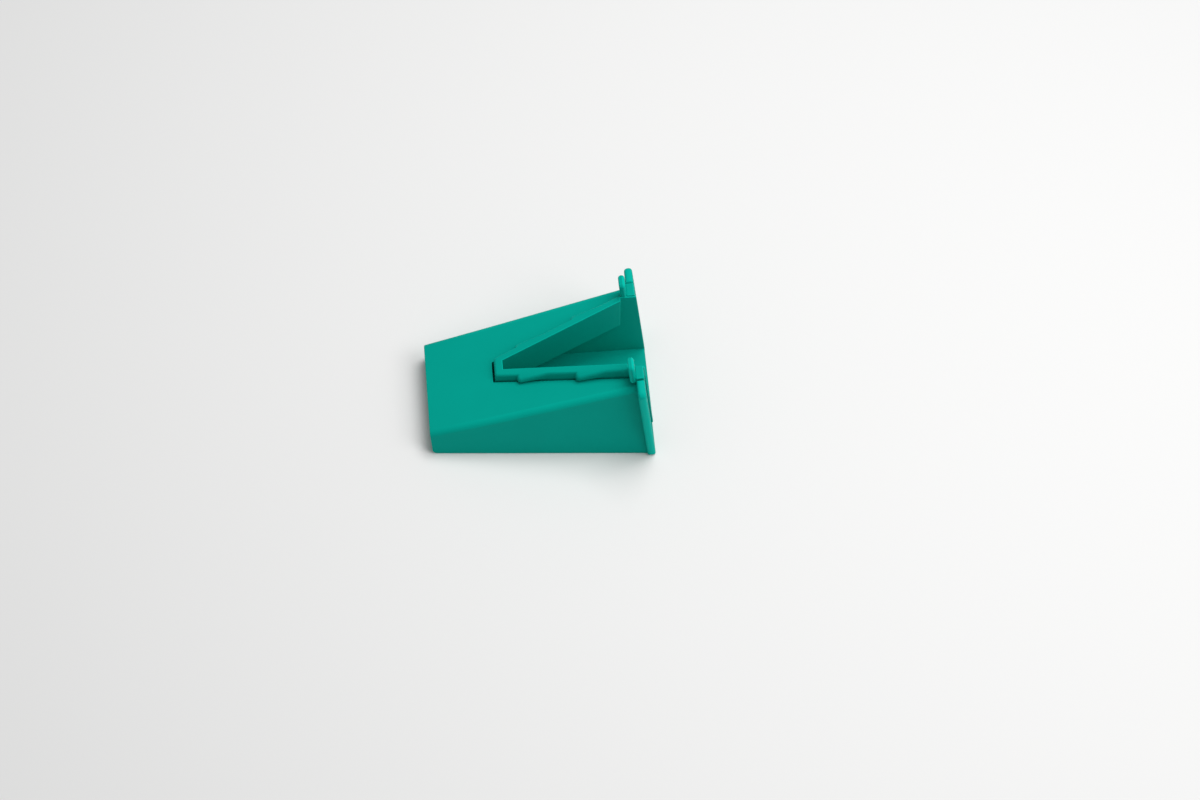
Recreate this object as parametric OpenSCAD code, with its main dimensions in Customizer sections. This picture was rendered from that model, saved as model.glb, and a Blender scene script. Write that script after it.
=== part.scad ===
// Fabric tube maker: a moulded funnel that folds a strip of cloth and wadding into a tube,
// with a removable folding guide that slides down into the slot in its top.
// X runs from the narrow outlet to the wide intake, Z is up, and the base rests on Z = 0.

/* [Funnel] */
// Length of the base, from the outlet to the front of the flange
funnel_len = 66; // [60:0.1:76]
// Outer width of the outlet along its top
outlet_w = 34.8; // [33:0.1:38]
// Outer width of the outlet along its base
outlet_base_w = 36.9; // [34:0.1:40]
// Outer height of the outlet
outlet_h = 8.7; // [8:0.1:11]
// Outer width of the intake along its base
intake_base_w = 47.8; // [45:0.1:52]
// Outer width of the intake along its top
intake_top_w = 39.3; // [38.4:0.1:43]
// Outer height of the intake
intake_h = 27.9; // [26:0.1:29.5]
// Thickness of the funnel's walls
wall = 1.6; // [1.2:0.1:2.2]
// Radius of the two long top edges
shoulder_r = 2; // [1.8:0.1:3]
// Radius of the lower corner of the outlet, seen from the side
outlet_corner_r = 1.2; // [0.5:0.1:3]

/* [Flange] */
// Width of the flange
flange_w = 49.8; // [48:0.1:56]
// Height of the flange
flange_h = 31.3; // [30.6:0.1:36]
// Thickness of the flange
flange_t = 2.5; // [1.5:0.1:3]
// Lean of the flange towards the outlet, in degrees
flange_lean = 6.1; // [0:0.1:8]
// Radius of the flange's upper corners
flange_corner_r = 2; // [0.5:0.1:3]

/* [Guide] */
// Distance from the outlet to the front of the guide's nose
nose_x = 21; // [17:0.1:26]
// Thickness of the nose
nose_t = 2.6; // [2:0.1:3.5]
// Width of the opening just behind the nose
nose_gap = 3.3; // [2:0.1:6]
// Width of the opening between the back ends of the fences
throat_w = 23.8; // [21:0.1:24.6]
// Thickness of the two fences
fence_t = 2.4; // [2:0.1:2.8]
// Height of the fences from the rim down to the underside of the shelf
fence_depth = 12; // [10.5:0.1:12.5]
// Height of the rim above the funnel's top at the nose
rim_rise_nose = 2.5; // [2:0.1:5]
// Height of the rim above the funnel's top at the back of the fences
rim_rise_back = 3.5; // [2.5:0.1:6]
// Length of the straight cheeks between the fences and the foot of the flange
cheek_len = 5.3; // [5:0.1:7]
// Thickness of the guide's floor, shelves and cheeks
guide_wall = 1.3; // [1:0.1:1.8]
// Corner radius at the front of the guide's floor
floor_corner_r = 6; // [2:0.5:10]
// How far the guide stands out behind the flange
guide_overhang = 0.4; // [0.3:0.1:3]

/* [Tabs and lugs] */
// How far each finger tab reaches sideways from its cheek
tab_reach = 5.1; // [4:0.1:5.4]
// Width of each finger tab
tab_w = 5; // [3.6:0.1:5]
// Thickness of each finger tab
tab_t = 2; // [1.2:0.1:2.5]
// How far the tabs' backs lie behind the front of the flange
tab_set = 0.1; // [0:0.1:1]
// Height of the tabs' tops above the rim
tab_rise = 5.3; // [4:0.1:7]
// Radius of the tabs' corners
tab_corner_r = 1.2; // [0.5:0.1:1.7]
// Length of each carrying lug from its blunt end to its point
lug_len = 12.5; // [6:0.5:13]
// How far each lug stands out from its fence
lug_reach = 1.5; // [1:0.1:1.7]
// Distance from the nose to the front of the first pair of lugs
lug_start = 6.7; // [4:0.1:9]
// Distance between the two pairs of lugs
lug_pitch = 17.4; // [14:0.1:19]

/* [Clearances] */
// Gap between the guide and the slot, the flange and the funnel's top
fit_gap = 0.35; // [0.2:0.05:0.6]
// Gap under the guide's floor for the strip
strip_gap = 1.2; // [1:0.1:2]

/* [Hidden] */
$fn = 48;
// Steps of the funnel's loft: along its length, up each side and round each shoulder
loft_steps = 12;
side_steps = 3;
arc_steps = 8;
// Share of a lug's reach at which its straight side starts, so that it cuts the round end at an angle
lug_side = 0.97;
// Overlap of cutting shapes, and a span that is larger than the whole part
cut = 1;
span = 200;
plastic = [0, 0.62, 0.55];

// Lean of a section that meets the base at x: the outlet is upright, the intake leans as the flange does
function lean_x(x, z) = x - z * tan(flange_lean) * x / funnel_len;
function flange_x(x, z) = x - z * tan(flange_lean);

// The top face, as a line in the XZ plane
top_slope = (intake_h - outlet_h) / lean_x(funnel_len, intake_h);
function top_z(x) = outlet_h + top_slope * x;

// The guide's rim, its shelf and its floor
rim_x0 = nose_x + nose_t;
rim_x1 = funnel_len - cheek_len;
rim_z0 = top_z(rim_x0) + rim_rise_nose;
rim_z1 = top_z(rim_x1) + rim_rise_back;
rim_slope = (rim_z1 - rim_z0) / (rim_x1 - rim_x0);
function rim_z(x) = rim_z0 + rim_slope * (x - rim_x0);
function shelf_z(x) = rim_z(x) - fence_depth + guide_wall;
floor_z = wall + strip_gap;
trough_z = floor_z + guide_wall;

// The fences in plan: half the opening between them, and half their outer width
fence_angle = atan((throat_w - nose_gap) / 2 / (rim_x1 - rim_x0));
function inner_y(x) = nose_gap / 2 + tan(fence_angle) * (x - rim_x0);
function outer_y(x) = inner_y(x) + fence_t / cos(fence_angle);

// Behind the fences: the outer and inner faces of the cheeks, and the ends of the tabs
guide_y = outer_y(rim_x1);
cheek_y = guide_y - guide_wall;
tab_y = cheek_y + tab_reach;

// Back of the guide: a leaning plane, given by where it would meet the base
back_x = funnel_len + flange_t + guide_overhang;

// The part is centred along X, between the outlet and the back of the guide's floor
mid_x = flange_x(back_x, floor_z) / 2;

// Places a drawing in the plane that leans as the flange does and meets the base at x, thick along +X
module leaning(x, thick) {
    translate([x, 0, 0])
        rotate([0, -flange_lean, 0])
            rotate([90, 0, 90])
                linear_extrude(thick)
                    children();
}

// Spreads a drawing of the XZ plane across the part, width w
module side_view(w) {
    translate([0, w / 2, 0])
        rotate([90, 0, 0])
            linear_extrude(w)
                children();
}

// Rectangle from (x0, y0) to (x1, y1) with round corners
module round_plate(x0, y0, x1, y1, r) {
    translate([x0 + r, y0])
        square([x1 - x0 - 2 * r, y1 - y0]);
    translate([x0, y0 + r])
        square([x1 - x0, y1 - y0 - 2 * r]);
    for (x = [x0 + r, x1 - r], y = [y0 + r, y1 - r])
        translate([x, y])
            circle(r);
}

// Half of the funnel's cross-section at distance x along the base, from the base up to the middle
// of the top: a straight side, then an arc that is tangent to the side and to the top
function half_section(x, inset, bottom) =
    let (
        share = x / funnel_len,
        half_top = (outlet_w + (intake_top_w - outlet_w) * share) / 2 - inset,
        half_base = (outlet_base_w + (intake_base_w - outlet_base_w) * share) / 2 - inset,
        height = outlet_h + (intake_h - outlet_h) * share - inset,
        r = max(shoulder_r - inset, wall / 2),
        tilt = atan((half_base - half_top) / (height - bottom)),
        arc_y = half_top - r * (1 - sin(tilt)) / cos(tilt),
        arc_z = height - r,
        base = [half_base, bottom],
        side_end = [arc_y + r * cos(tilt), arc_z + r * sin(tilt)]
    )
    concat(
        [for (i = [0 : side_steps - 1]) base + (side_end - base) * i / side_steps],
        [for (i = [0 : arc_steps])
            let (turn = tilt + (90 - tilt) * i / arc_steps)
            [arc_y + r * cos(turn), arc_z + r * sin(turn)]]
    );

// Tapered solid inside the funnel's outline, inset all round and longer than the funnel by over
module taper(inset, bottom, over) {
    stations = [for (i = [0 : loft_steps]) -over + (funnel_len + 2 * over) * i / loft_steps];
    half_count = side_steps + arc_steps + 1;
    ring_count = 2 * half_count;
    points = [
        for (x = stations)
            let (half = half_section(x, inset, bottom))
            for (i = [0 : ring_count - 1])
                let (p = i < half_count ? half[i] : half[ring_count - 1 - i])
                [lean_x(x, p[1]), i < half_count ? p[0] : -p[0], p[1]]
    ];
    skin = [
        for (k = [0 : loft_steps - 1], i = [0 : ring_count - 1])
            let (next = (i + 1) % ring_count, a = k * ring_count, b = a + ring_count)
            each [[a + i, b + next, a + next], [a + i, b + i, b + next]]
    ];
    last = loft_steps * ring_count;
    caps = [
        for (i = [0 : half_count - 2])
            let (j = ring_count - 1 - i)
            each [
                [i, i + 1, j - 1],
                [i, j - 1, j],
                [last + i, last + j - 1, last + i + 1],
                [last + i, last + j, last + j - 1]
            ]
    ];
    polyhedron(points, concat(skin, caps));
}

// Side view of the funnel, with the lower corner of the outlet rounded
module funnel_side() {
    r = outlet_corner_r;
    polygon([
        [r, 0],
        [funnel_len + cut, 0],
        [funnel_len + cut, intake_h + cut],
        [0, intake_h + cut],
        [0, r],
        [r, r]
    ]);
    translate([r, r])
        circle(r);
}

// Plan of the slot in the funnel's top, a fit round the fences and cheeks
module slot_plan() {
    front = nose_x - fit_gap;
    polygon(concat(
        [for (side = [-1, 1]) [front, side * (outer_y(nose_x) + fit_gap)]],
        [for (side = [1, -1], x = side > 0 ? [rim_x1, back_x + cut] : [back_x + cut, rim_x1])
            [x, side * (guide_y + fit_gap)]]
    ));
}

module flange_outline() {
    half = flange_w / 2;
    r = flange_corner_r;
    split = tab_y + fit_gap;
    sill = intake_h / cos(flange_lean);
    difference() {
        union() {
            translate([-half, -cut])
                square([flange_w, flange_h + cut - r]);
            for (side = [-1, 1])
                translate([side * (half - r), flange_h - r])
                    circle(r);
            translate([-half + r, flange_h - 2 * r])
                square([flange_w - 2 * r, 2 * r]);
        }
        translate([-split, sill])
            square([2 * split, flange_h]);
    }
}

// The funnel, its flange and the slot in its top, moulded in one piece
module funnel_body() {
    color(plastic)
        translate([-mid_x, 0, 0])
            difference() {
                union() {
                    intersection() {
                        taper(0, 0, cut);
                        side_view(span)
                            funnel_side();
                    }
                    intersection() {
                        leaning(funnel_len, flange_t)
                            flange_outline();
                        translate([0, -span / 2, 0])
                            cube(span);
                    }
                }
                taper(wall, wall, flange_t + 2 * cut);
                translate([0, 0, outlet_h / 2])
                    linear_extrude(span)
                        slot_plan();
            }
}

// Side view of the guide's hollow floor box under the shelf, inset all round
module box_side(inset) {
    back = rim_x1 + cut;
    polygon([
        [nose_x, floor_z + inset],
        [back, floor_z + inset],
        [back, shelf_z(back) - inset],
        [nose_x, shelf_z(nose_x) - inset]
    ]);
}

// Plan of the floor box, with rounded front corners
module box_plan(inset) {
    round_plate(nose_x + inset, -guide_y + inset, span, guide_y - inset, floor_corner_r - inset);
}

// Plan of the space between the fences, open to the back, and of the nose and fences round it
module fence_plan(half_width, front) {
    polygon([
        [front, -half_width[0]],
        [rim_x1, -half_width[1]],
        [rim_x1, half_width[1]],
        [front, half_width[0]]
    ]);
}

// Plan of one carrying lug: a teardrop on the outside of the left fence, blunt in front and pointed
// behind, where it runs into the fence
module lug_plan(x) {
    translate([x, outer_y(x)])
        rotate(fence_angle)
            translate([lug_reach, 0]) {
                circle(lug_reach);
                polygon([[0, 0], [lug_len - lug_reach, -lug_reach / 3], [0, lug_side * lug_reach]]);
            }
}

// Side view of the stretch of fence between the funnel's top and the rim
module rim_side() {
    polygon([
        [nose_x, top_z(nose_x) + fit_gap],
        [rim_x1, top_z(rim_x1) + fit_gap],
        [rim_x1, rim_z1],
        [nose_x, rim_z(nose_x)]
    ]);
}

// Back end of the guide: cheeks, the blocks that fill the flange's split, and the finger tabs
module guide_end() {
    sill = (intake_h + fit_gap) / cos(flange_lean);
    tab_foot = (intake_h + fit_gap / 2) / cos(flange_lean);
    tab_top = (rim_z1 + tab_rise) / cos(flange_lean);
    side_view(2 * guide_y)
        polygon([
            [rim_x1, floor_z],
            [flange_x(back_x, floor_z), floor_z],
            [flange_x(back_x, rim_z1), rim_z1],
            [rim_x1, rim_z1]
        ]);
    for (side = [0, 1])
        mirror([0, side, 0]) {
            leaning(funnel_len, flange_t)
                translate([cheek_y - cut, sill])
                    square([tab_reach + cut, flange_h - sill]);
            leaning(funnel_len + tab_set - tab_t, tab_t)
                round_plate(tab_y - tab_w, tab_foot, tab_y, tab_top, tab_corner_r);
        }
}

// The removable guide: floor box, shelves, fences, lugs, cheeks and tabs, moulded in one piece
module folding_guide() {
    color(plastic)
        translate([-mid_x, 0, 0]) {
            difference() {
                union() {
                    intersection() {
                        linear_extrude(span)
                            box_plan(0);
                        side_view(span)
                            box_side(0);
                    }
                    intersection() {
                        linear_extrude(span)
                            fence_plan([outer_y(nose_x), guide_y], nose_x);
                        side_view(span)
                            polygon([
                                [nose_x, rim_z(nose_x) - fence_depth],
                                [rim_x1, rim_z1 - fence_depth],
                                [rim_x1, rim_z1],
                                [nose_x, rim_z(nose_x)]
                            ]);
                    }
                    guide_end();
                    intersection() {
                        linear_extrude(span)
                            for (side = [0, 1], pair = [0, 1])
                                mirror([0, side])
                                    lug_plan(nose_x + lug_start + pair * lug_pitch);
                        side_view(span)
                            rim_side();
                    }
                }
                intersection() {
                    linear_extrude(span)
                        box_plan(guide_wall);
                    side_view(span)
                        box_side(guide_wall);
                }
                translate([0, 0, trough_z])
                    linear_extrude(span) {
                        fence_plan([inner_y(rim_x0), inner_y(rim_x1)], rim_x0);
                        translate([rim_x1, -cheek_y])
                            square([span, 2 * cheek_y]);
                    }
            }
        }
}

funnel_body();
folding_guide();
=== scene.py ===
import math

import bmesh
import bpy
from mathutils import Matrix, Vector


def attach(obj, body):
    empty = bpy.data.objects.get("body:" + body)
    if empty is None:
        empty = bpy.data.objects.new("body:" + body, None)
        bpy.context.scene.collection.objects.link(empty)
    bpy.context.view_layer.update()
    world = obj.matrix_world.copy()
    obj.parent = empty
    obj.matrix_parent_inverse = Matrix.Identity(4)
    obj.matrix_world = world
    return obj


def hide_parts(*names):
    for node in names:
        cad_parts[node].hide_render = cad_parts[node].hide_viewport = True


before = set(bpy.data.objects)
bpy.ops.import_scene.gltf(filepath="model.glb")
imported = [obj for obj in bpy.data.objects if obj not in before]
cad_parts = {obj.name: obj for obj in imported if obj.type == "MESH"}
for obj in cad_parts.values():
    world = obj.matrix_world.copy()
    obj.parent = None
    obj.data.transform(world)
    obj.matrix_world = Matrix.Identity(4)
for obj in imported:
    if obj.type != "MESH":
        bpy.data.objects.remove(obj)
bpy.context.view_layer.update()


# The funnel is one injection moulding in teal plastic: a flat tapering tube that leans in towards
# the top, with a V-shaped slot in its sloping roof. The walls are 1.6 mm thick all round, and the
# mould leaves the two long shoulders rounded and every other edge just broken.
funnel_len, wall, outlet_undercut = 66.0, 1.6, 0.6
outlet_high, outlet_half_top, outlet_half_base = 8.7, 17.4, 18.45
intake_rise, intake_widen_top, intake_widen_base = 19.2, 2.25, 5.45
slot_nose, slot_half = 3.77, 14.74
slot_front, slot_back, tube_end = 20.9, 63.493, 66.1
shoulder_round, hollow_round, foot_round, edge_break = 1.74, 0.7, 1.25, 0.3
flange_lean = math.radians(6.1)
flange_tan = math.tan(flange_lean)


def wall_corners(x, slot):
    """Half of the wall's section at x: out along the base, up to the slot, and back inside."""
    share = x / funnel_len
    height = outlet_high + intake_rise * share
    half_top = outlet_half_top + intake_widen_top * share
    half_base = outlet_half_base + intake_widen_base * share
    set_back = 0 if x else outlet_undercut
    return [
        Vector((x - z * flange_tan * share + set_back * (1 - z / height), y, z))
        for y, z in (
            (0, 0), (half_base, 0), (half_top, height), (slot, height),
            (slot, height - wall), (half_top - wall, height - wall),
            (half_base - wall, wall), (0, wall),
        )
    ]


def new_shell():
    """An empty mesh that can carry a painted highlight, drawn in mm from the outlet's foot."""
    bm = bmesh.new()
    bm.verts.layers.float.new("painted_highlight")
    return bm


def faces_of(parts):
    return [part for part in parts if isinstance(part, bmesh.types.BMFace)]


def with_edges(faces):
    return faces + list(dict.fromkeys(edge for face in faces for edge in face.edges))


def pull(bm, faces, shift=(0, 0, 0)):
    """Extrudes faces by a shift and gives the new ones, largest count of corners first."""
    grown = bmesh.ops.extrude_face_region(bm, geom=with_edges(faces))["geom"]
    corners = [part for part in grown if isinstance(part, bmesh.types.BMVert)]
    bmesh.ops.translate(bm, vec=shift, verts=corners)
    return sorted(faces_of(grown), key=lambda face: -len(face.verts))


stations = [
    (0.0, slot_nose), (slot_front, slot_nose), (slot_back, slot_half), (tube_end, slot_half),
]
tube = new_shell()
corners = [tube.verts.new(corner) for corner in wall_corners(*stations[0])]
roof = [tube.verts.new((corner.co.x, 0, corner.co.z)) for corner in corners[3:5]]
wall_end = tube.faces.new(corners)
roof_end = tube.faces.new((corners[3], roof[0], roof[1], corners[4]))
wall_end, roof_end = pull(tube, [wall_end, roof_end])
for station in stations[1:]:
    for vert, corner in zip(wall_end.verts, wall_corners(*station)):
        vert.co = corner
    if station is stations[1]:
        for vert, beside in zip(roof_end.verts[1:3], wall_end.verts[3:5]):
            vert.co = (beside.co.x, 0, beside.co.z)
    if station is not stations[-1]:
        wall_end = pull(tube, [wall_end])[0]


def round_edges(bm, edges, width, steps):
    return bmesh.ops.bevel(
        bm, geom=edges, offset=width, offset_type="OFFSET", segments=steps, profile=0.5,
        affect="EDGES", clamp_overlap=False, material=-1)["faces"]


def paint_highlight(bm, faces, amount):
    """Marks a band of faces for a painted highlight, from 0 to 1, fading out along its border."""
    painted_highlight = bm.verts.layers.float["painted_highlight"]
    band = set(faces)
    for vert in {vert for face in faces for vert in face.verts}:
        if band.issuperset(vert.link_faces):
            vert[painted_highlight] = amount


# The long shoulders get a faint painted highlight, the hollow corners inside none.
for corner, radius, steps, highlight in ((2, shoulder_round, 8, 0.3), (5, hollow_round, 4, 0)):
    places = [wall_corners(*station)[corner] for station in stations]
    shoulder = [
        edge for edge in tube.edges
        if all(min((v.co - place).length for place in places) < 1e-4 for v in edge.verts)
    ]
    paint_highlight(tube, round_edges(tube, shoulder, radius, steps), highlight)
along = [edge for edge in tube.edges if abs(edge.verts[0].co.x - edge.verts[1].co.x) > 3]
bmesh.ops.subdivide_edges(tube, edges=along, cuts=5, use_grid_fill=True)


def other_half(bm):
    """Mirrors the left half across the middle of the tool, open at the joint."""
    joint = [face for face in bm.faces if all(abs(v.co.y) < 1e-5 for v in face.verts)]
    bmesh.ops.delete(bm, geom=joint, context="FACES_ONLY")
    everything = bm.verts[:] + bm.edges[:] + bm.faces[:]
    bmesh.ops.mirror(bm, geom=everything, axis="Y", merge_dist=1e-4)
    bmesh.ops.recalc_face_normals(bm, faces=bm.faces[:])


def break_edges(bm, width, steps, chosen):
    """Rounds the sharp convex edges that are chosen and gives their new faces."""
    return round_edges(bm, [
        edge for edge in bm.edges
        if edge.is_manifold and edge.calc_face_angle_signed() > math.radians(35) and chosen(edge)
    ], width, steps)


def before_flange(edge):
    return any(v.co.x + v.co.z * flange_tan < funnel_len for v in edge.verts)


other_half(tube)
outlet_foot = [
    edge for edge in tube.edges if all(v.co.z < 0.01 and v.co.x < 1 for v in edge.verts)
]
round_edges(tube, outlet_foot, foot_round, 5)
# The funnel's broken edges, up to the flange, get a painted highlight.
paint_highlight(tube, break_edges(tube, edge_break, 3, before_flange), 0.6)

# The flange is part of the same moulding: a flat plate, 2.5 mm thick, that leans with the end of
# the funnel and stiffens the intake. Its top is split, and the guide fills the split. Both of the
# mouldings are in one satin plastic, faintly clouded, with a lighter highlight painted on edges.
flange_half, flange_high, flange_thick = 24.9, 31.3, 2.5
split_half, split_low = 18.54, 28.059
mouth_half_top, mouth_half_base, mouth_high, mouth_sill = 18.05, 22.3, 26.45, 1.609
flange_corner, mouth_corner, flange_round, flange_break = 2.0, 0.7, 1.0, 0.35
side_y, post_z, top_z = 23, 29, 28
across = Vector((math.cos(flange_lean), 0, math.sin(flange_lean)))
flange = new_shell()
flange_face = flange.faces.new([
    flange.verts.new((funnel_len - s * math.sin(flange_lean), y, s * math.cos(flange_lean)))
    for y, s in (
        (0, 0), (flange_half, 0), (flange_half, flange_high), (split_half, flange_high),
        (split_half, split_low), (slot_half, split_low), (slot_half, mouth_high),
        (mouth_half_top, mouth_high), (mouth_half_base, mouth_sill), (0, mouth_sill),
    )
])
flange_back = pull(flange, [flange_face], flange_thick * across)[0]
for vert in flange_back.verts:
    if vert.co.z < 0.5:
        vert.co = (funnel_len + flange_thick / math.cos(flange_lean), vert.co.y, 0)
for y, low, high, radius in (
    (flange_half, 30, 40, flange_corner), (mouth_half_top, 24, 27, mouth_corner),
):
    corner = [
        edge for edge in flange.edges
        if all(abs(v.co.y - y) < 1e-4 and low < v.co.z < high for v in edge.verts)
    ]
    round_edges(flange, corner, radius, 8)
other_half(flange)


def on_outline(edge):
    """True at the flange's sides and on top of its two posts, but not down the split."""
    at_side = any(abs(v.co.y) > side_y for v in edge.verts)
    on_top = all(v.co.z > post_z for v in edge.verts)
    return all(abs(v.co.y) > split_half - 0.01 for v in edge.verts) and (at_side or on_top)


def on_back_or_foot(edge):
    return all(
        v.co.x + v.co.z * flange_tan > funnel_len + 1 or v.co.z < 0.01 for v in edge.verts)


rounded = break_edges(flange, flange_round, 5, on_outline)
rounded_verts = {vert for face in rounded for vert in face.verts}
flange_rim = [face for face in flange.faces if rounded_verts.issuperset(face.verts)]
# The flange's rounded outline gets a full painted highlight, the tops of its posts half of it.
paint_highlight(flange, flange_rim, 1.0)
paint_highlight(flange, [face for face in flange_rim if all(v.co.z > top_z for v in face.verts)], 0.5)
break_edges(flange, flange_break, 3, on_back_or_foot)


class Signal:
    """One socket of a finish. Arithmetic on it adds Math nodes."""

    def __init__(self, tree, socket=None):
        self.tree = tree
        self.socket = socket

    def node(self, kind, settings=None, inputs=None, output=0):
        made = self.tree.nodes.new(kind)
        for name, value in (settings or {}).items():
            setattr(made, name, value)
        for name, value in (inputs or {}).items():
            if isinstance(value, Signal):
                self.tree.links.new(value.socket, made.inputs[name])
            else:
                made.inputs[name].default_value = value
        return Signal(self.tree, made.outputs[output] if made.outputs else None)

    def maths(self, operation, first, second):
        return self.node("ShaderNodeMath", {"operation": operation}, {0: first, 1: second})

    def __add__(self, other):
        return self.maths("ADD", self, other)

    def __radd__(self, other):
        return self.maths("ADD", other, self)

    def __sub__(self, other):
        return self.maths("SUBTRACT", self, other)

    def __rsub__(self, other):
        return self.maths("SUBTRACT", other, self)

    def __mul__(self, other):
        return self.maths("MULTIPLY", self, other)

    def __rmul__(self, other):
        return self.maths("MULTIPLY", other, self)


def moulded_plastic(name, shade):
    """A satin plastic with faint clouds and a fine grain, with a lighter painted highlight on
    marked faces.
    """
    def tint(share):
        return [c * share for c in shade] + [1]

    finish = bpy.data.materials.new(name)
    finish.use_nodes = True
    finish.node_tree.nodes.clear()
    start = Signal(finish.node_tree)
    place = start.node("ShaderNodeTexCoord", output="Object")
    painted_highlight = start.node("ShaderNodeAttribute", {"attribute_name": "painted_highlight"}, output="Fac")
    cloud = start.node(
        "ShaderNodeTexNoise", {}, {"Vector": place, "Scale": 70.0, "Detail": 3.0})
    grain = start.node(
        "ShaderNodeTexNoise", {}, {"Vector": place, "Scale": 3200.0, "Detail": 2.0})
    body = start.node(
        "ShaderNodeMix", {"data_type": "RGBA"},
        {"Factor": cloud, "A": tint(0.95), "B": tint(1.05)}, output=2)
    # Marked faces are mixed towards a lighter teal: a highlight painted into the colour.
    colour = start.node(
        "ShaderNodeMix", {"data_type": "RGBA"},
        {"Factor": painted_highlight * (0.6 + 0.3 * cloud), "A": body, "B": tint(1.5)}, output=2)
    bump = start.node(
        "ShaderNodeBump", {}, {"Strength": 0.12, "Distance": 0.00004, "Height": grain})
    shader = start.node(
        "ShaderNodeBsdfPrincipled", {},
        {"Base Color": colour, "Roughness": 0.5 + 0.1 * cloud - 0.05 * painted_highlight, "Normal": bump,
         "Specular IOR Level": 0.03})
    start.node("ShaderNodeOutputMaterial", {}, {"Surface": shader})
    return finish


def take_in(whole, shell):
    """Adds a shell to a larger mesh and frees it."""
    drawn = bpy.data.meshes.new("shell")
    shell.to_mesh(drawn)
    whole.from_mesh(drawn)
    bpy.data.meshes.remove(drawn)
    shell.free()


def finish_moulding(shells, name, plastic, node, body):
    """Joins the shells of a moulding and puts them in the tool's frame, in metres."""
    outlet_x = -34.3004
    whole = bmesh.new()
    for shell in shells:
        take_in(whole, shell)
    bmesh.ops.translate(whole, vec=(outlet_x, 0, 0), verts=whole.verts)
    bmesh.ops.scale(whole, vec=(0.001, 0.001, 0.001), verts=whole.verts)
    for face in whole.faces:
        face.smooth = True
    mesh = bpy.data.meshes.new(name)
    whole.to_mesh(mesh)
    whole.free()
    mesh.set_sharp_from_angle(angle=math.radians(38))
    mesh.materials.append(plastic)
    piece = bpy.data.objects.new(name, mesh)
    bpy.context.scene.collection.objects.link(piece)
    piece.modifiers.new("flat_faces", "WEIGHTED_NORMAL").keep_sharp = True
    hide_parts(node)
    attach(piece, body)


teal = moulded_plastic("teal_plastic", (0.0, 0.335, 0.267))
finish_moulding(
    [tube, flange], "funnel_moulding", teal, "funnel_body", "funnel")

# The folding guide is the second moulding, in the same plastic. Two fences meet in a blunt nose and
# stand on shelves over a hollow floor box, and cheeks run back to the flange. Four teardrop lugs,
# level with the rim and falling outwards, hang it on the edges of the slot.
nose_x, throat_x, heel_x, back_x = 21.0, 23.6, 60.7, 68.9
throat_y, heel_y, cheek_y, guide_y = 1.65, 11.9, 13.09, 14.39
fence_tan, fence_thick, fence_depth = 0.27628, 2.4, 12.0
fence_angle = math.atan(fence_tan)
fence_way = Vector((math.cos(fence_angle), math.sin(fence_angle), 0))
rim_low, rim_slope, roof_slope, roof_gap = 18.39, 0.33163, 0.304673, 0.35
lug_fronts, lug_len, lug_radius, lug_turn = (27.7, 45.1), 9.7, 1.5, math.radians(-117)
lug_fall, rim_round, nose_draft = 0.64, 0.9, 0.05
floor_z, floor_radius = 2.8, 6.0
corner_x = nose_x + floor_radius


def rim_z(x):
    return rim_low + rim_slope * (min(x, heel_x) - throat_x)


def shelf_z(x):
    return rim_z(x) - fence_depth


def roof_z(x):
    return outlet_high + roof_slope * min(x, heel_x)


def outer_y(x):
    return throat_y + fence_tan * (x - throat_x) + fence_thick / math.cos(fence_angle)


fences = new_shell()
lug_faces, lug_round, fence_side = [], [], []
for front in lug_fronts:
    blunt = fences.verts.new((front, outer_y(front), 0))
    bmesh.ops.spin(
        fences, geom=[blunt], cent=blunt.co + lug_radius * fence_way, axis=(0, 0, 1),
        dvec=(0, 0, 0), angle=lug_turn, steps=8, use_merge=False, use_duplicate=False)
    arc = fences.verts[:][-8:]
    point = fences.verts.new(blunt.co + lug_len * fence_way)
    lug_faces.append(fences.faces.new([blunt] + arc + [point]))
    lug_round += arc
    fence_side += [blunt, point]
nose = [fences.verts.new((nose_x, y, 0)) for y in (0, outer_y(nose_x))]
heel = [fences.verts.new((heel_x, y, 0)) for y in (guide_y, cheek_y, heel_y)]
throat = [fences.verts.new((throat_x, y, 0)) for y in (throat_y, 0)]
cheek_back = [fences.verts.new((heel_x + 5, y, 0)) for y in (guide_y, cheek_y)]
fence_top = fences.faces.new(nose + fence_side + heel + throat)
cheek_top = fences.faces.new((heel[0], cheek_back[0], cheek_back[1], heel[1]))
for vert in fences.verts:
    vert.co.z = rim_z(vert.co.x)
for vert in lug_round:
    vert.co.z -= lug_fall * (vert.co.y - outer_y(vert.co.x))
low = pull(fences, [fence_top, cheek_top] + lug_faces)
for face in low:
    for vert in face.verts:
        vert.co.z = roof_z(vert.co.x) + roof_gap
fence_low, cheek_low = pull(fences, [low[0], low[-1]])
for vert in set(fence_low.verts) | set(cheek_low.verts):
    vert.co.z = shelf_z(vert.co.x)
    if vert.co.x < throat_x:
        vert.co.x += nose_draft
pull(fences, [cheek_low], (0, 0, floor_z - cheek_low.verts[0].co.z))
for vert in fences.verts:
    if vert.co.x > heel_x + 1:
        vert.co.x = back_x - vert.co.z * flange_tan
box_side = next(
    face for face in fences.faces
    if len(face.verts) == 4
    and all(abs(v.co.x - heel_x) < 1e-4 and v.co.z < shelf_z(heel_x) + 0.1 for v in face.verts))
box_side = pull(fences, [box_side], (corner_x - heel_x, 0, 0))[0]
for vert in box_side.verts:
    if vert.co.z > floor_z + 1:
        vert.co.z = shelf_z(vert.co.x)
turned = bmesh.ops.spin(
    fences, geom=with_edges([box_side]), cent=(corner_x, guide_y - floor_radius, 0),
    axis=(0, 0, 1), dvec=(0, 0, 0), angle=math.radians(90), steps=8,
    use_merge=False, use_duplicate=False)
box_front = faces_of(turned["geom_last"])[0]
pull(fences, [box_front], (0, floor_radius - guide_y, 0))
for vert in fences.verts:
    if vert.co.x < corner_x + 0.1 and floor_z + 1 < vert.co.z < shelf_z(corner_x) + 1:
        vert.co.z = shelf_z(vert.co.x)
other_half(fences)


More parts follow.
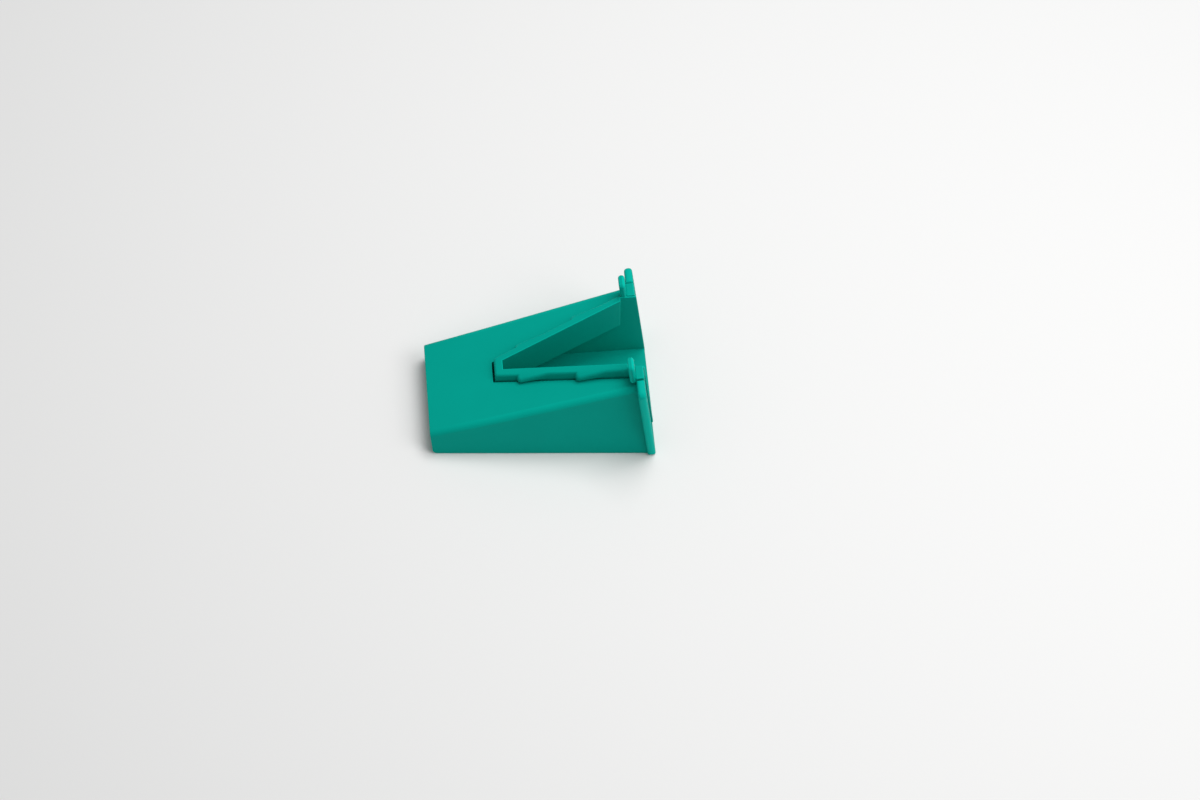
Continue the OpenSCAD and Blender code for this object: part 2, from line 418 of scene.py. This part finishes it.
def on_outer_rim(edge):
    """True round the top of the guide, on its outer side, its lugs and its nose."""
    return any(v.co.z > rim_z(v.co.x) - 1.1 for v in edge.verts) and all(
        v.co.x < nose_x + 0.01
        or v.co.z > roof_z(v.co.x) + 0.1
        and abs(v.co.y) > min(outer_y(v.co.x), guide_y) - 0.01
        for v in edge.verts)


def in_sight(edge):
    """True above the roof, on the cheeks and down the heels of the fences."""
    return all(
        v.co.z > roof_z(v.co.x) + 0.1
        or v.co.x > heel_x + 1
        or abs(v.co.x - heel_x) + abs(abs(v.co.y) - heel_y) < 0.02
        for v in edge.verts)


# The outer rim gets a faint painted highlight, the inner rim edge a full one.
paint_highlight(fences, break_edges(fences, rim_round, 5, on_outer_rim), 0.2)
broken = break_edges(fences, edge_break, 3, in_sight)
paint_highlight(fences, [
    face for face in broken if all(v.co.z > rim_z(v.co.x) - 0.4 for v in face.verts)
], 1.0)

# The shelves and the floor of the guide are part of the same moulding and close its hollow box.
# Their front corners are well rounded, so that nothing catches on them.
shelf_thick, tray_thick, tray_inset, tray_back, skin = 1.3, 1.25, 0.65, 0.4, 0.05
under_nose, under_throat, under_heel = 0.6, 1.05, 1.2
shelf = new_shell()
shelf_top = shelf.faces.new([
    shelf.verts.new((x, y, shelf_z(x) + shelf_thick))
    for x, y in (
        (nose_x, 0), (nose_x, guide_y), (heel_x - skin, guide_y),
        (heel_x - skin, heel_y + under_heel),
        (throat_x - under_nose, throat_y + under_throat), (throat_x - under_nose, 0),
    )
])
pull(shelf, [shelf_top], (0, 0, -shelf_thick))
tray = new_shell()
tray_floor = tray.faces.new([
    tray.verts.new((x, y, floor_z + skin))
    for x, y in (
        (nose_x + tray_inset, 0), (nose_x + tray_inset, guide_y - tray_inset),
        (back_x - tray_back, guide_y - tray_inset), (back_x - tray_back, 0),
    )
])
tray_floor = pull(tray, [tray_floor], (0, 0, tray_thick))[0]
for vert in tray_floor.verts:
    if vert.co.x > heel_x:
        vert.co.x = back_x - skin - vert.co.z * flange_tan
for bm, inset in ((shelf, 0), (tray, tray_inset)):
    x, y = nose_x + inset, guide_y - inset
    corner = [
        edge for edge in bm.edges
        if all(abs(v.co.x - x) + abs(v.co.y - y) < 1e-3 for v in edge.verts)
    ]
    round_edges(bm, corner, floor_radius - inset, 8)
    other_half(bm)

# Two blocks on the cheeks fill the split in the flange, level with its top. A finger tab with round
# corners stands before each of them, for drawing the guide back out of the slot.
block_low, block_inner, block_round = 28.411, cheek_y + 0.3, 0.4
tab_x, tab_thick, tab_low, tab_high, tab_inner = 64.1, 2.0, 28.235, 36.199, 13.19
tab_corner, tab_round, end_outer = 1.25, 0.9, 18.19
ends = new_shell()
for start, thick, low, high, inner, corner_round, edge_round, highlight in (
    (funnel_len, flange_thick, block_low, flange_high, block_inner, 0, block_round, 0.5),
    (tab_x, tab_thick, tab_low, tab_high, tab_inner, tab_corner, tab_round, 1.0),
):
    plate = new_shell()
    face = plate.faces.new([
        plate.verts.new((start - s * math.sin(flange_lean), y, s * math.cos(flange_lean)))
        for y, s in ((inner, low), (end_outer, low), (end_outer, high), (inner, high))
    ])
    pull(plate, [face], thick * across)
    bmesh.ops.recalc_face_normals(plate, faces=plate.faces[:])
    if corner_round:
        thick_edges = [
            edge for edge in plate.edges
            if abs((edge.verts[0].co - edge.verts[1].co).normalized().dot(across)) > 0.99
        ]
        round_edges(plate, thick_edges, corner_round, 6)
    # The blocks' edges get half of a painted highlight, the tabs' edges a full one.
    paint_highlight(plate, break_edges(plate, edge_round, 4, lambda edge: True), highlight)
    take_in(ends, plate)
other_half(ends)
finish_moulding(
    [fences, shelf, tray, ends], "guide_moulding", teal,
    "folding_guide", "guide")

# The floor is plain and pale, and matt as paper. It isn't part of the tool and only takes its
# shadow.
floor_mesh = bpy.data.meshes.new("floor")
floor = bpy.data.objects.new("floor", floor_mesh)
bpy.context.scene.collection.objects.link(floor)
bm = bmesh.new()
bmesh.ops.create_grid(bm, x_segments=1, y_segments=1, size=3.0)
bm.to_mesh(floor_mesh)
bm.free()
paper = bpy.data.materials.new("pale_floor")
paper.use_nodes = True
principled = paper.node_tree.nodes["Principled BSDF"]
principled.inputs["Base Color"].default_value = (0.8, 0.8, 0.797, 1)
principled.inputs["Roughness"].default_value = 0.9
principled.inputs["Specular IOR Level"].default_value = 0.1
floor_mesh.materials.append(paper)

# Soft studio light: an even pale surround, one soft lamp in front to the right and one high up
# behind, both aimed at the middle of the tool.
lamp_aim, lamp_size = Vector((0, 0, 0.01)), 0.45
world = bpy.data.worlds.new("studio")
bpy.context.scene.world = world
world.use_nodes = True
surround = world.node_tree.nodes["Background"].inputs
surround["Color"].default_value = (1, 1, 1, 1)
surround["Strength"].default_value = 0.3
for name, place, power in (
    ("right_lamp", (0.445, -0.257, 0.613), 2.1),
    ("high_lamp", (0.175, 0.175, 0.761), 4.2),
):
    lamp_data = bpy.data.lights.new(name, "AREA")
    lamp_data.shape = "SQUARE"
    lamp_data.size = lamp_size
    lamp_data.energy = power
    lamp = bpy.data.objects.new(name, lamp_data)
    bpy.context.scene.collection.objects.link(lamp)
    lamp.location = place
    lamp.rotation_euler = (lamp_aim - lamp.location).to_track_quat("-Z", "Y").to_euler()

# The camera looks down at the tool from in front, at the photograph's angle, through a long lens
# from about a metre away.
azimuth, elevation, distance = math.radians(-4.843), math.radians(54.0), 1.0318
aim = Vector((0.018894, -0.002567, 0))
back = Vector((
    math.sin(azimuth) * math.cos(elevation),
    -math.cos(azimuth) * math.cos(elevation),
    math.sin(elevation),
))
camera_data = bpy.data.cameras.new("camera")
camera_data.lens = 100
camera_data.sensor_width = 36
camera_data.sensor_fit = "HORIZONTAL"
camera = bpy.data.objects.new("camera", camera_data)
bpy.context.scene.collection.objects.link(camera)
camera.location = aim + distance * back
camera.rotation_euler = (-back).to_track_quat("-Z", "Y").to_euler()
bpy.context.scene.camera = camera

bpy.context.scene.view_settings.view_transform = "Standard"
